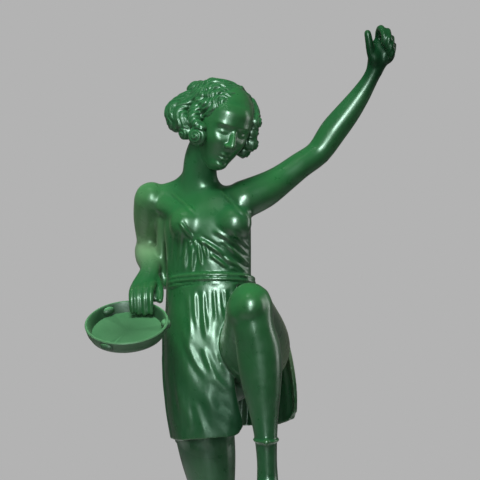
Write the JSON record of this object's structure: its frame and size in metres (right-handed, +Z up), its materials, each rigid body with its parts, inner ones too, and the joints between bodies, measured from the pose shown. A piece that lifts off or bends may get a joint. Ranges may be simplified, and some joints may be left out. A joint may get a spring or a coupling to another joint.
{
  "type": "spelter dancer figure",
  "caption": "Art Deco dancer in green-patinated spelter, one arm and one knee raised, a tambourine held low, on a low stone plinth.",
  "frame": {"origin": "middle of the plinth's underside", "axes": "+Z up, the dancer faces -Y, its raised arm is towards +X"},
  "size_m": [0.1892, 0.1626, 0.4557],
  "materials": {
    "figure_patina": "glossy dark green patina over cast spelter",
    "tambourine_patina": "half-gloss mid green patina over cast spelter",
    "stone": "polished black stone"
  },
  "bodies": {
    "root": {"dancer_figure": "figure_patina", "tambourine": "tambourine_patina", "plinth": "stone"}
  },
  "joints": []
}
